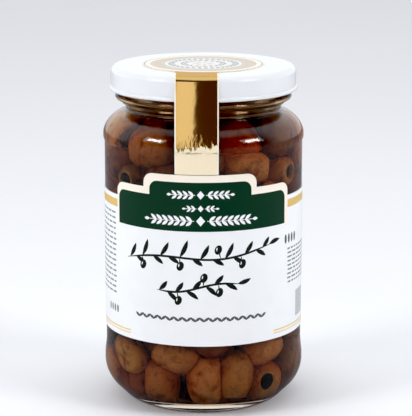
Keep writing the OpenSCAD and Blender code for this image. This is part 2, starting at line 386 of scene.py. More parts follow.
def settle(rounds=420):
    """Lets the olives push each other apart. Gives their middles, axes and half sizes."""
    count = len(SET_OLIVES)
    middle = np.zeros((TOTAL, 3))
    axis = rng.normal(size=(TOTAL, 3))
    axis /= np.linalg.norm(axis, axis=1)[:, None]
    turn, reach = rng.uniform(0, 2 * math.pi, TOTAL), 25 * np.sqrt(rng.uniform(0, 1, TOTAL))
    middle[:, 0], middle[:, 1] = reach * np.cos(turn), reach * np.sin(turn)
    middle[:, 2] = rng.uniform(14, FILL_Z - 7, TOTAL)
    for i, (angle, z, r, hole, _) in enumerate(SET_OLIVES):
        a = math.radians(angle)
        middle[i] = (r * math.sin(a), -r * math.cos(a), z)
        axis[i] = direction(angle, *hole)
    size = rng.uniform(0.93, 1.06, (TOTAL, 2))
    size[:count] = (1.0, 1.0)
    long, wide = HALF_LONG * size[:, 0], HALF_WIDE * size[:, 1]
    place = np.array([-1, 0, 1])
    for step in range(rounds):
        grow = min(1.0, 0.55 + 0.45 * step / (rounds * 0.6))
        ball = np.stack([END_BALL * wide, MIDDLE_BALL * wide, END_BALL * wide], 1) * grow * 0.95
        apart = (long - END_BALL * wide) * grow
        p = (middle[:, None] + axis[:, None] * (place[None, :, None] * apart[:, None, None])).reshape(-1, 3)
        r = ball.reshape(-1)
        gap = p[:, None] - p[None]
        far = np.sqrt((gap ** 2).sum(2)) + 1e-9
        over = np.maximum(r[:, None] + r[None] - far, 0)
        owner = np.repeat(np.arange(TOTAL), 3)
        over[owner[:, None] == owner[None]] = 0
        push = (gap / far[:, :, None] * over[:, :, None]).sum(1) * 0.32
        push += keep_inside(p, r) * 0.7
        push = push.reshape(TOTAL, 3, 3)
        push[:count] = 0
        middle += push.mean(1) * 1.2
        axis += (push[:, 2] - push[:, 0]) / (2 * apart[:, None])
        axis /= np.linalg.norm(axis, axis=1)[:, None]
    print("olives:", TOTAL, "deepest overlap left", round(float(over.max()), 2), "mm")
    outward = (axis[:, :2] * middle[:, :2]).sum(1) > 0
    turned = outward & (middle[:, 1] < 0) & (np.arange(TOTAL) >= count)
    return middle, np.where(turned[:, None], -axis, axis), long, wide


middles, axes, longs, wides = settle()

# %% [markdown]
# The shape of one olive is again a turned profile: round the outside, over the lip of the
# hole and down into it. Olives in the core of the jar are hardly seen, so theirs is
# coarser. A number at each point says how much of the paler cut flesh it shows, and, below
# nought, how dark the painted shade deep in the hole is.

# %% One olive
def olive_shape(rings, around, holed=True):
    """A unit olive along +Z: points, faces and a number at each point: above nought, how much of the paler
    cut surface it shows; below nought, how dark its painted shade deep in the hole is.
    """
    ends = 0.62 if holed else 1.0
    outline, flesh_and_painted_shade = [(0, -0.93)], [0.5]
    for t in np.linspace(-0.96, ends, rings):
        u = t * math.pi / 2
        outline.append((max(math.cos(u), 0.0) ** (2 / BLUNT),
                        math.copysign(abs(math.sin(u)) ** (2 / BLUNT), u)))
        flesh_and_painted_shade.append(0.0)
    if holed:
        last = outline[-1][1]
        outline += [(0.54, last + 0.03), (0.46, last + 0.03), (0.42, last - 0.01), (0.41, last - 0.13),
                    (0.40, last - 0.32), (0.37, last - 0.8), (0, last - 0.9)]
        # Below nought: painted shade, darkening the deep wall and floor of the hole.
        flesh_and_painted_shade += [0.5, 1.0, 1.0, 0.2, -0.85, -0.95, -0.95]
    else:
        outline[-1] = (0, 1.0)
    points, faces, _ = lathe(outline, around)
    kept = [flesh_and_painted_shade[0]] + [f for f in flesh_and_painted_shade[1:-1] for _ in range(around)] + [flesh_and_painted_shade[-1]]
    return np.array(points), faces, np.array(kept)


shapes = {True: olive_shape(24, 28), False: olive_shape(9, 12, holed=False)}
print("faces of an olive at the glass:", len(shapes[True][1]), "and in the core:", len(shapes[False][1]))

# %% Olives pressed against each other
OFF_GLASS, OFF_OLIVE, MOST_GIVE = 0.12, 0.16, 2.6


def depth_in(p, i):
    """How deep points lie inside olive i: under 0 inside it, over 0 outside, in mm."""
    v = p - middles[i]
    along = v @ axes[i]
    across = np.sqrt(np.maximum((v ** 2).sum(-1) - along ** 2, 0))
    k = ((across / wides[i]) ** BLUNT + np.abs(along / longs[i]) ** BLUNT) ** (1 / BLUNT)
    return (k - 1) * np.sqrt((v ** 2).sum(-1)) / np.maximum(k, 1e-6)


def press(p, i, skin):
    """Presses the points of olive i flat against its neighbours and the glass."""
    near = [j for j in range(TOTAL)
            if j != i and np.linalg.norm(middles[j] - middles[i]) < longs[i] + longs[j]]
    for _ in range(4):
        if near:
            others = np.min([depth_in(p, j) for j in near], axis=0)
            give = np.clip((depth_in(p, i) - others + OFF_OLIVE) / 2, 0, MOST_GIVE) * skin
            v = middles[i] - p
            p = p + v / np.linalg.norm(v, axis=1)[:, None] * give[:, None]
    radius = np.hypot(p[:, 0], p[:, 1]) + 1e-9
    limit = np.minimum(radius, np.interp(p[:, 2], wall_z, wall_r) - OFF_GLASS)
    p[:, :2] *= (limit / radius)[:, None]
    floor = np.interp(radius, inner[:8, 0], inner[:8, 1]) + OFF_GLASS
    p[:, 2] = np.clip(p[:, 2], np.where(radius < 29, floor, -100), OIL_Z - 0.4)
    return p


# %% All olives in one mesh
# The last two browns are painted light, kept for two set olives; the loose ones take the others.
BROWNS_AND_PAINTED_LIGHT = ["c87c42", "c48254", "d88c48", "a05636", "e09a50", "9c6640", "ec9c5c", "f8a866", "f6b24e"]
FLESH = "cc9a54"
points, faces, colours, total = [], [], [], 0
for i in range(TOTAL):
    reach = np.hypot(*middles[i][:2]) + 0.6 * longs[i]
    outer = i < len(SET_OLIVES) or reach > np.interp(middles[i][2], wall_z, wall_r) - 8
    shape, shape_faces, flesh_and_painted_shade = shapes[bool(outer)]
    side = np.cross(axes[i], (0.3, 0.5, 0.81))
    side /= np.linalg.norm(side)
    wave = shape + 0.022 * np.sin(shape[:, [1, 2, 0]] * 4.2 + rng.uniform(0, 6, 3)) * (flesh_and_painted_shade < 0.1)[:, None]
    p = (middles[i] + np.outer(wave[:, 0] * wides[i], side)
         + np.outer(wave[:, 1] * wides[i], np.cross(axes[i], side))
         + np.outer(wave[:, 2] * longs[i], axes[i]))
    p = press(p, i, (np.abs(flesh_and_painted_shade) < 0.6).astype(float))
    tint = SET_OLIVES[i][4] if i < len(SET_OLIVES) else rng.choice(len(BROWNS_AND_PAINTED_LIGHT) - 2)
    base, cut = np.array(linear(BROWNS_AND_PAINTED_LIGHT[tint])), np.array(linear(FLESH))
    # Cut flesh is lighter; where the number is below nought, the colour is darkened, which is painted shade
    # in the hole.
    bare = np.clip(flesh_and_painted_shade, 0, 1)[:, None] * 0.8
    colours.append((base + (cut - base) * bare) * (1 + np.clip(flesh_and_painted_shade, -1, 0)[:, None] * (1, 1, 1, 0)))
    points.append(p)
    faces += [tuple(total + v for v in face) for face in shape_faces]
    total += len(p)
print("olives in the mesh:", len(points), "with", total, "points")

# %% [markdown]
# Cured olive flesh is soft and matt, and in oil even its wet skin hardly shines, because oil
# and flesh bend light nearly alike. Its brown varies from olive to olive, which a colour
# stored in the mesh carries, and over each olive in blotches 3 to 6 mm wide and in freckles
# under a millimetre, which two noise textures carry.

# %% Olive flesh
flesh_skin, tree, out = material("olive_flesh_in_oil")
place = add(tree, "ShaderNodeTexCoord").outputs["Object"]
# The tint attribute holds each olive's brown, and also painted light on two set olives and painted shade deep
# in the pit holes.
tint = add(tree, "ShaderNodeAttribute", attribute_name="tint").outputs["Color"]
blotch = add(tree, "ShaderNodeTexNoise", {"Vector": place, "Scale": 1 / (5 * MM), "Detail": 3.0,
                                          "Roughness": 0.55, "Distortion": 0.6})
light = add(tree, "ShaderNodeValToRGB", {"Fac": blotch.outputs["Fac"]},
            stops=[(0.3, "b08468"), (0.5, "f0e8e0"), (0.72, "ffffff")])
colour = add(tree, "ShaderNodeMix", {0: 1.0, 6: tint, 7: light.outputs["Color"]},
             data_type="RGBA", blend_type="MULTIPLY")
freckle = add(tree, "ShaderNodeTexNoise", {"Vector": place, "Scale": 1 / (0.9 * MM), "Detail": 2.0})
dots = add(tree, "ShaderNodeMapRange", {"Value": freckle.outputs["Fac"], "From Min": 0.58,
                                        "From Max": 0.75, "To Max": 0.5})
colour = add(tree, "ShaderNodeMix", {0: dots.outputs["Result"], 6: colour.outputs[2],
                                     7: linear("4a2414")}, data_type="RGBA")
bumps = add(tree, "ShaderNodeBump", {"Height": freckle.outputs["Fac"], "Strength": 0.25,
                                     "Distance": 0.1 * MM})
surface(tree, out, {"Base Color": colour.outputs[2], "Roughness": 0.55, "IOR": 1.4,
                    "Specular IOR Level": 0.12, "Normal": bumps.outputs["Normal"]})

olives = piece("olives", np.concatenate(points), faces, "oil", [flesh_skin])
shade = olives.data.attributes.new("tint", "FLOAT_COLOR", "POINT")
shade.data.foreach_set("color", np.concatenate(colours).astype(np.float32).ravel())

# %% [markdown]
# ## The label
#
# The label is one sheet of coated paper wrapped round the jar, with a stepped top edge at
# the front. A painted texture would blur its sharp print when seen close up, so the print
# is cut into the mesh: the sheet is laid flat, every printed outline is drawn on it, and a
# Delaunay triangulation makes triangles that keep to those lines. Each triangle takes the
# ink it lies in. Then the sheet is rolled round the glass and given its thickness. The
# words of a real label give way to plain ornament: leaf garlands, an olive branch, rules
# and small bars.

# %% Sizes of the label
GLUE, PAPER = 0.03, 0.22
LABEL_R = BODY_R + GLUE
LABEL_Z, TAB_TOP = [end.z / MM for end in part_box("label")]
SIDE_TOP, STEP_TOP = TAB_TOP - 9.9, TAB_TOP - 4.9
STEP_A, TAB_A, TAB_SHIFT, LABEL_TURN, LABEL_GAP = 56.6, 33.2, -1.3, -1.0, 12.0
DEGREE = LABEL_R * math.pi / 180
END = math.pi * LABEL_R - LABEL_GAP / 2
print("label:", round(2 * END, 1), "mm long,", round(TAB_TOP - LABEL_Z, 1), "mm tall")


# %% The edge of the flat label
def corner(x, z, radius, quarter, steps=6):
    """A rounded outer corner at (x, z). quarter is 1 for upper right and -1 for upper left."""
    start, end = (90, 0) if quarter > 0 else (180, 90)
    return arc(x - quarter * radius, z - radius, radius, start, end, steps)


def stepped(wide, step_top, tab, tab_top, foot, tab_shift=0.0, radius=3.4, step_radius=3.4):
    """A stepped outline from its lower left corner, clockwise."""
    return ([(-wide, foot)] + corner(-wide, step_top, step_radius, -1)
            + [(tab_shift - tab, step_top)] + corner(tab_shift - tab, tab_top, radius, -1)
            + corner(tab_shift + tab, tab_top, radius, 1) + [(tab_shift + tab, step_top)]
            + corner(wide, step_top, step_radius, 1) + [(wide, foot)])


sheet_edge = stepped(STEP_A * DEGREE, STEP_TOP, TAB_A * DEGREE, TAB_TOP, SIDE_TOP, TAB_SHIFT * DEGREE)
sheet_edge = [(-END, LABEL_Z), (-END, SIDE_TOP)] + sheet_edge + [(END, SIDE_TOP), (END, LABEL_Z)]

# %% Shapes to print
PAPER_WHITE, GREEN, DARK, GREY, GOLD, CREAM, DARK_GREY = range(7)
art = []


def ink(kind, *outlines):
    """Prints closed outlines over what is there already."""
    art.extend((kind, outline) for outline in outlines)


def box(x0, z0, x1, z1):
    """A box from its lower left corner to its upper right one."""
    return [(x0, z0), (x1, z0), (x1, z1), (x0, z1)]


def leaf(x, z, length, width, angle, bend=0.0):
    """A pointed leaf that starts at (x, z)."""
    t = np.linspace(0, 1, 7)
    half = width / 2 * np.sin(math.pi * t) ** 0.8
    curve = bend * length * t * (1 - t)
    up, down = np.stack([length * t, curve + half], 1), np.stack([length * t, curve - half], 1)[-2:0:-1]
    a = math.radians(angle)
    turn = np.array([[math.cos(a), math.sin(a)], [-math.sin(a), math.cos(a)]])
    return [tuple(q) for q in np.concatenate([up, down]) @ turn + (x, z)]


def berry(x, z, width, height, angle=0.0, steps=14):
    """An oval."""
    a = math.radians(angle)
    return [(x + width / 2 * math.cos(t) * math.cos(a) - height / 2 * math.sin(t) * math.sin(a),
             z + width / 2 * math.cos(t) * math.sin(a) + height / 2 * math.sin(t) * math.cos(a))
            for t in np.linspace(0, 2 * math.pi, steps, endpoint=False)]


def stroke(line, width):
    """A line of even width that thins out at both ends."""
    line = np.array(line, float)
    along = np.gradient(line, axis=0)
    along /= np.linalg.norm(along, axis=1)[:, None]
    side = np.stack([-along[:, 1], along[:, 0]], 1)
    half = width / 2 * np.clip(np.sin(math.pi * np.linspace(0.04, 0.96, len(line))) * 1.8, 0.2, 1)
    return [tuple(q) for q in np.concatenate([line + side * half[:, None],
                                              (line - side * half[:, None])[::-1]])]


# %% Fields of colour
SHIELD, SHIELD_SHIFT = 54.3 * DEGREE, -0.55 * DEGREE
CREAM_Z, SHIELD_Z, SHIELD_STEP, SHIELD_TOP = 66.0, 66.9, 79.0, 83.9
BAND_Z, BAND_TOP, LOW_RULE, HIGH_RULE = 72.1, 74.9, (28.2, 28.5), (29.2, 29.6)
BLEED = 0.1
ink(CREAM, stepped(STEP_A * DEGREE + BLEED, STEP_TOP + BLEED, TAB_A * DEGREE, TAB_TOP + BLEED,
                   CREAM_Z, TAB_SHIFT * DEGREE))
ink(PAPER_WHITE, box(SHIELD_SHIFT - SHIELD, 60, SHIELD_SHIFT + SHIELD, SHIELD_Z))
ink(GREEN, [(x + SHIELD_SHIFT, z) for x, z in
            stepped(SHIELD, SHIELD_STEP, 29.6 * DEGREE, SHIELD_TOP, SHIELD_Z, -0.4 * DEGREE, 3.0, 3.0)])
for side in (-1, 1):
    near, far = side * (STEP_A * DEGREE + BLEED), side * (END - 1.5)
    ink(GOLD, box(near, BAND_Z, far, BAND_TOP),
        *[box(side * 27.5, low, far, high) for low, high in (HIGH_RULE, LOW_RULE)])
    ink(CREAM, box(side * 26.5, LOW_RULE[1], far, HIGH_RULE[0]))

# %% Garlands on the green field
def garland(z, half, height, pitch):
    """Leaves in pairs along a stem, either side of a diamond in the middle."""
    middle = SHIELD_SHIFT
    ink(PAPER_WHITE, [(middle, z - height / 2), (middle + height * 0.42, z),
                      (middle, z + height / 2), (middle - height * 0.42, z)])
    for side in (-1, 1):
        ink(PAPER_WHITE, box(middle + side * height * 0.62, z - 0.11, middle + side * half, z + 0.11))
        for x in np.arange(height * 0.8, half - pitch * 0.6, pitch):
            for lift in (38, -38):
                angle = lift if side > 0 else 180 - lift
                ink(PAPER_WHITE, leaf(middle + side * x, z, height * 0.78, height * 0.30, angle, 0.1))
        ink(PAPER_WHITE, leaf(middle + side * (half - 0.3), z, height * 0.55, height * 0.32, 90 - 90 * side))


garland(79.6, 10.4, 3.0, 1.9)
garland(74.9, 5.4, 2.3, 1.5)
garland(70.6, 18.6, 3.6, 2.1)

# %% The olive branch
def branch(line, leaves, fruit, length, width, thick):
    """A curved stem with slim leaves, and olives that hang from it."""
    ink(DARK, stroke(line, thick))
    line = np.array(line)
    for i, (t, lift, grow) in enumerate(leaves):
        x, z = line[int(t * (len(line) - 1))]
        ink(DARK, leaf(x, z, length * grow, width, lift, 0.18 if i % 2 else -0.18))
    for t, dx, dz in fruit:
        x, z = line[int(t * (len(line) - 1))]
        ink(DARK, stroke([(x + dx * u, z + dz * u) for u in np.linspace(0, 1, 4)], 0.4))
        ink(DARK, berry(x + dx, z + dz, 2.5, 3.4, -20))
        ink(PAPER_WHITE, leaf(x + dx - 0.45, z + dz + 0.9, 1.3, 0.4, -100, 0.3))


t = np.linspace(0, 1, 40)
sweep = [(-28.7 + 55 * a, 55.6 + 4.4 * a + 1.2 * math.sin(a * 7.2)) for a in t]
branch(sweep, [(0.03, 62, 1.0), (0.08, -28, 0.8), (0.15, 70, 1.1), (0.22, -34, 0.8), (0.27, 58, 1.0),
               (0.33, -30, 0.8), (0.4, 66, 1.15), (0.47, -34, 0.75), (0.53, 60, 1.0), (0.6, -28, 0.75),
               (0.67, 62, 1.05), (0.74, -34, 0.8), (0.81, 55, 0.9), (0.88, -30, 0.8), (0.93, 50, 0.75),
               (0.99, 14, 0.9)],
       [(0.13, 0.3, -3.0), (0.41, 0.2, -3.0), (0.66, -0.9, 3.3), (0.79, 0.6, -3.0)], 6.0, 1.6, 0.75)
sweep = [(-15.8 + 29 * a, 45.9 + 2.4 * a - 0.9 * math.sin(a * 6.4)) for a in t]
branch(sweep, [(0.04, 48, 0.8), (0.14, -42, 0.9), (0.24, 52, 0.8), (0.36, -34, 0.9), (0.46, 48, 0.8),
               (0.6, -42, 0.9), (0.7, 46, 0.8), (0.84, -30, 0.9), (0.98, 16, 0.9)],
       [(0.28, 0.3, -3.0), (0.58, 0.2, 3.1), (0.76, 0.3, -3.0)], 5.8, 1.6, 0.75)

# %% Small ornament and side panels
for i, x in enumerate(np.arange(-24.0, 23.6, 1.5)):
    lift = 0.7 if i % 2 else -0.7
    ink(DARK_GREY, leaf(x - 0.8, 36.0 - lift, 2.5, 0.95, 55 * lift))

bars = np.random.default_rng(5)
for side, inner_edge, top, bottom, pitch in ((-1, 58.5, 69.5, 40, 1.9), (1, 57.0, 57.0, 43.5, 1.5)):
    for z in np.arange(top, bottom, -pitch):
        x = inner_edge * DEGREE + bars.uniform(0, 0.5)
        while x < 92 * DEGREE:
            wide = bars.uniform(1.2, 3.4)
            ink(GREY, box(side * x, z, side * (x + wide), z + 0.62))
            x += wide + 0.7
ink(DARK_GREY, *[berry((55.2 + 3.4 * i) * DEGREE, 61.0, 1.3, 3.4) for i in range(4)])
ink(GREY, *[berry((-57.5 - 3.2 * i) * DEGREE, 35.5, 1.3, 2.8) for i in range(4)])
ink(GREY, *[box((68.5 + 1.5 * i) * DEGREE, 31.5, (69.3 + 1.5 * i) * DEGREE, 41.0) for i in range(9)])
print("printed outlines:", len(art))

# %% [markdown]
# Coated paper for labels is calendered smooth and printed offset: the white is a little
# blue, the ink is satin, and a faint fibre relief breaks up the shine. The gold is a
# metallic ink, which glints much less than foil does.

# %% Inks on coated paper
def printed(name, code, rough=0.42, metallic=0.0):
    """One ink on coated paper, with the fibre relief of the sheet, about 0.4 mm across."""
    made, tree, out = material(name)
    place = add(tree, "ShaderNodeTexCoord").outputs["Object"]
    fibre = add(tree, "ShaderNodeTexNoise", {"Vector": place, "Scale": 1 / (0.4 * MM), "Detail": 4.0})
    cloud = add(tree, "ShaderNodeTexNoise", {"Vector": place, "Scale": 1 / (6 * MM), "Detail": 2.0})
    tone = add(tree, "ShaderNodeMapRange", {"Value": cloud.outputs["Fac"], "To Min": 0.94, "To Max": 1.0})
    colour = add(tree, "ShaderNodeVectorMath", {0: linear(code)[:3], "Scale": tone.outputs["Result"]},
                 operation="SCALE")
    relief = add(tree, "ShaderNodeBump", {"Height": fibre.outputs["Fac"], "Strength": 0.15,
                                          "Distance": 0.02 * MM})
    surface(tree, out, {"Base Color": colour.outputs["Vector"], "Roughness": rough, "Metallic": metallic,
                        "Specular IOR Level": 0.3, "Normal": relief.outputs["Normal"]})
    return made


INKS = [printed("coated_paper_white", "f4f8fb"), printed("green_ink_on_coated_paper", "0a3823", 0.42),
        printed("dark_ink_on_coated_paper", "16221c", 0.4), printed("grey_ink_on_coated_paper", "84888c"),
        printed("gold_ink_on_coated_paper", "ecc97c", 0.36, 0.2),
        printed("cream_ink_on_coated_paper", "fbf4e6"), printed("slate_ink_on_coated_paper", "565c60")]


# %% Triangles that keep to the print
def inside_outline(spots, outline):
    """Which spots lie inside a closed outline."""
    x, z = spots.T
    found = np.zeros(len(spots), bool)
    a = np.array(outline)
    for (x0, z0), (x1, z1) in zip(a, np.roll(a, -1, 0)):
        if z0 != z1:
            found ^= ((z0 > z) != (z1 > z)) & (x < (x1 - x0) * (z - z0) / (z1 - z0) + x0)
    return found


def cut_sheet(edge, shapes, pitch_x, pitch_z):
    """Flat triangles inside an edge, cut along every shape. Gives points, triangles and inks."""
    spots, lines = [], []
    for outline in [edge] + [outline for _, outline in shapes]:
        outline = [p for a, b in zip(outline, outline[1:] + outline[:1])
                   for p in np.linspace(a, b, 1 + math.ceil(abs(b[0] - a[0]) / pitch_x - 1e-6))[:-1].tolist()
                   or [a]]
        start = len(spots)
        spots += [(float(x), float(z)) for x, z in outline]
        lines += [(start + i, start + (i + 1) % len(outline)) for i in range(len(outline))]
    (x0, z0), (x1, z1) = np.min(edge, 0), np.max(edge, 0)
    grid = [(x, z) for i, x in enumerate(np.arange(x0 + pitch_x / 2, x1, pitch_x))
            for z in np.arange(z0 + pitch_z * (0.3 + 0.4 * (i % 2)), z1, pitch_z)]
    grid = np.array(grid)[inside_outline(np.array(grid), edge)]
    spots += [(float(x), float(z)) for x, z in grid]
    flat, _, triangles, *_ = delaunay_2d_cdt(spots, lines, [], 0, 1e-5)
    flat, triangles = np.array([tuple(v) for v in flat]), np.array([tuple(f) for f in triangles])
    middle = flat[triangles].mean(1)
    keep = inside_outline(middle, edge)
    triangles, middle = triangles[keep], middle[keep]
    kinds = np.full(len(triangles), PAPER_WHITE)
    for kind, outline in shapes:
        (x0, z0), (x1, z1) = np.min(outline, 0), np.max(outline, 0)
        close = np.where((middle[:, 0] > x0) & (middle[:, 0] < x1)
                         & (middle[:, 1] > z0) & (middle[:, 1] < z1))[0]
        kinds[close[inside_outline(middle[close], outline)]] = kind
    used, numbers = np.unique(triangles, return_inverse=True)
    return flat[used], [tuple(t) for t in numbers.reshape(-1, 3).tolist()], kinds.tolist()


# %% A sheet of paper with a back and an edge
def with_back(front, back, faces, kinds, edge_kind):
    """Gives an open sheet of faces a back and an edge, so that it is a closed thin solid."""
    count = len(front)
    sides = {pair for f in faces for pair in zip(f, f[1:] + f[:1])}
    more = [tuple(v + count for v in reversed(f)) for f in faces]
    rims = sorted((b, a, a + count, b + count) for a, b in sides if (b, a) not in sides)
    return (np.concatenate([front, back]), faces + more + rims,
            kinds + [edge_kind] * (len(more) + len(rims)))


def rolled(flat, radius):
    """Flat label points round the jar at a radius, front middle at -Y."""
    a = np.radians(LABEL_TURN) + flat[:, 0] / LABEL_R
    return np.stack([radius * np.sin(a), -radius * np.cos(a), flat[:, 1]], 1)


flat, triangles, kinds = cut_sheet(sheet_edge, art, 1.5, 4.0)
points, faces, kinds = with_back(rolled(flat, LABEL_R + PAPER), rolled(flat, LABEL_R),
                                 triangles, kinds, PAPER_WHITE)
piece("paper_label", points, faces, "label", INKS, kinds)

# %% [markdown]
# ## The foil seal
#
# A strip of metallised foil is stuck to the lid as a round seal, runs over the lid's edge,
# spans tautly to the shoulder and down the glass to the label. It is a gold mirror with
# cream edges. Cloth simulation could lay it over the jar, but paper doesn't stretch: it
# bends in one direction only, apart from fine creases where it was rubbed down over the
# shoulder. So it is a grid that follows the strip's path.

# %% The path of the strip
STRIP_W, STRIP_LEFT, FOIL, SEAL_R, FLARE_R = 14.9, 2.3, 0.2, 21.3, 3.0
STRIP_FOOT, SEAL_TOP = [end.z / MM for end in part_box("seal")]
SEAT = SEAL_TOP - FOIL
LID_R, LID_ROUND = 32.6, 2.2
bend_r, bend_z = LID_R - LID_ROUND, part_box("lid")[1].z / MM - LID_ROUND
over = [(r + GLUE, z) for r, z in outer_shoulder]
leans = [math.atan((r - LID_R - GLUE) / (bend_z - z)) for r, z in over]
lean = max(leans)
leave = leans.index(lean)
path = [(BODY_R + GLUE, z) for z in np.arange(STRIP_FOOT, SHOULDER_Z - 3.3, 0.6)]
path += ease(BODY_R + GLUE, SHOULDER_Z - 2.9, SHOULDER_R + GLUE, SHOULDER_Z, 8)
path += over[1:leave + 1]
high_r, high_z = bend_r + (LID_ROUND + GLUE) * math.cos(lean), bend_z + (LID_ROUND + GLUE) * math.sin(lean)
path += [(path[-1][0] + (high_r - path[-1][0]) * t, path[-1][1] + (high_z - path[-1][1]) * t)
         for t in np.linspace(0, 1, 22)[1:-1]]
path += arc(bend_r, bend_z, LID_ROUND + GLUE, math.degrees(lean), 90, 12)
path += [(r, SEAT) for r in np.linspace(bend_r, SEAL_R - 1.2, 8)[1:]]
print("strip path:", len(path), "points, off the shoulder at", round(math.degrees(lean), 1), "degrees")

# %% The strip
FOIL_GOLD, EDGE_CREAM, FIELD_BEIGE, FINE_GREY, FIELD_PALE = range(5)
CREASE, CREASE_REACH = 0.09, 2.4
THIN = FOIL - CREASE
columns = np.array([-1, -0.94, -0.85, -0.7, -0.5, -0.3, -0.1, 0.1, 0.3, 0.5, 0.7, 0.85, 0.94, 1])
columns = columns * STRIP_W / 2 - STRIP_LEFT
line = np.array([p for p in path if p[0] >= bend_r - 1e-6])
along = np.gradient(line, axis=0)
normal = np.stack([along[:, 1], -along[:, 0]], 1) / np.linalg.norm(along, axis=1)[:, None]
crease = np.random.default_rng(3).uniform(0, 1, (len(line), len(columns)))
rub = np.exp(-((line[:, 1] - SHOULDER_Z + 0.4) / CREASE_REACH) ** 2) * CREASE


def strip_points(lift):
    """The strip's points, a distance above what it is stuck to. Its back isn't creased."""
    r = line[:, :1] + normal[:, :1] * lift + crease * rub[:, None] * (lift > 0)
    z = np.broadcast_to(line[:, 1:] + normal[:, 1:] * lift, r.shape)
    x = np.broadcast_to(columns, r.shape)
    return np.stack([x, -np.sqrt(r ** 2 - x ** 2), z], 2).reshape(-1, 3)


def grid_faces(rows, cols):
    """Quads of a grid, seen from the front."""
    return [(i * cols + j, i * cols + j + 1, (i + 1) * cols + j + 1, (i + 1) * cols + j)
            for i in range(rows - 1) for j in range(cols - 1)]


faces = grid_faces(len(line), len(columns))
kinds = [EDGE_CREAM if j in (0, len(columns) - 2) else FOIL_GOLD
         for i in range(len(line) - 1) for j in range(len(columns) - 1)]
strip = with_back(strip_points(THIN), strip_points(0), faces, kinds, EDGE_CREAM)
print("strip:", len(strip[0]), "points")

# %% The outline of the round seal
edge = [(x, -math.sqrt(bend_r ** 2 - x ** 2)) for x in columns]
strip_sides = []
for side in (1, -1):
    x_edge = side * STRIP_W / 2 - STRIP_LEFT
    x_mid, touch = x_edge + side * FLARE_R, SEAL_R + FLARE_R
    y_mid = -math.sqrt(touch ** 2 - x_mid ** 2)
    turn_in = math.degrees(math.atan2(-y_mid, -x_mid))
    hollow = arc(x_mid, y_mid, FLARE_R, 180 if side > 0 else 0, turn_in, 8)
    strip_sides.append((hollow, math.degrees(math.atan2(y_mid, x_mid))))
(right, right_turn), (left, left_turn) = strip_sides
edge += right + arc(0, 0, SEAL_R, right_turn, left_turn + 360, 90)[1:-1] + left[::-1]

# %% The round seal, cut along its rings as the label was along its print
print_on_seal = [(FOIL_GOLD, box(-30, -40, 30, -10))]
for x in (columns[1], columns[-2]):
    out_x = columns[0] - BLEED if x < 0 else columns[-1] + BLEED
    print_on_seal.append((EDGE_CREAM, box(x, -40, out_x, right[0][1])))
print_on_seal += [(kind, arc(0, 0, radius, 0, 360, 96)[:-1]) for kind, radius in
                  ((EDGE_CREAM, 21.25), (FINE_GREY, 20.85), (EDGE_CREAM, 20.5), (FIELD_BEIGE, 18.7),
                   (FIELD_PALE, 14.4), (FINE_GREY, 14.1), (FIELD_PALE, 13.8))]


def ring_of_leaves(kind, radius, count, start, length, width, lean):
    """Small leaves round the seal's middle, each at an angle to the way out."""
    for i in range(count):
        a = 360 * (i + start) / count
        x, y = radius * math.cos(math.radians(a)), radius * math.sin(math.radians(a))
        print_on_seal.append((kind, leaf(x, y, length, width, a + lean)))


ring_of_leaves(FINE_GREY, 12.4, 36, 0.0, 2.0, 1.0, 120)
ring_of_leaves(FINE_GREY, 10.2, 30, 0.5, 2.0, 1.0, 60)
ring_of_leaves(FINE_GREY, 8.0, 24, 0.0, 1.9, 0.95, 120)
ring_of_leaves(FINE_GREY, 5.9, 17, 0.5, 1.9, 0.95, 60)
ring_of_leaves(FIELD_BEIGE, 1.2, 9, 0.0, 3.0, 1.0, 0)
flat, triangles, kinds = cut_sheet(edge, print_on_seal, 3.0, 3.0)
heights = np.full((len(flat), 1), SEAT + FOIL)
disc = with_back(np.hstack([flat, heights]), np.hstack([flat, heights - FOIL]),
                 triangles, kinds, EDGE_CREAM)
print("round seal:", len(disc[0]), "points")

# %% [markdown]
# The foil is paper with a film of aluminium, lacquered yellow, so it mirrors like a metal
# but is not quite flat. Where it runs down the glass, it is painted matt pale cream and hardly
# metallic: a painted reflection of the bright floor that it faces there. The upper border of
# that is ragged, slants a little, and lies where the creases over the shoulder begin. One mask
# along the height, roughened by a stretched noise, makes it.

# %% Metallised foil
PAINTED_REFLECTION_TOP, RAGGED, SLANT = 93.0, 6.0, 0.12
foil_gold, tree, out = material("metallised_foil_gold")
place = add(tree, "ShaderNodeTexCoord").outputs["Object"]
parts = add(tree, "ShaderNodeSeparateXYZ", {0: place})
stretch = add(tree, "ShaderNodeMapping", {"Vector": place, "Scale": [1 / (c * MM) for c in (0.9, 0.9, 4)]})
ragged = add(tree, "ShaderNodeTexNoise", {"Vector": stretch.outputs[0], "Scale": 1.0, "Detail": 3.0})
lift = add(tree, "ShaderNodeMath", {0: ragged.outputs["Fac"], 1: RAGGED * MM}, operation="MULTIPLY")
slant = add(tree, "ShaderNodeMath", {0: parts.outputs["X"], 1: SLANT}, operation="MULTIPLY")
edge_z = add(tree, "ShaderNodeMath", {0: lift.outputs[0], 1: slant.outputs[0]}, operation="ADD")
down = add(tree, "ShaderNodeMath", {0: edge_z.outputs[0], 1: parts.outputs["Z"]}, operation="SUBTRACT")
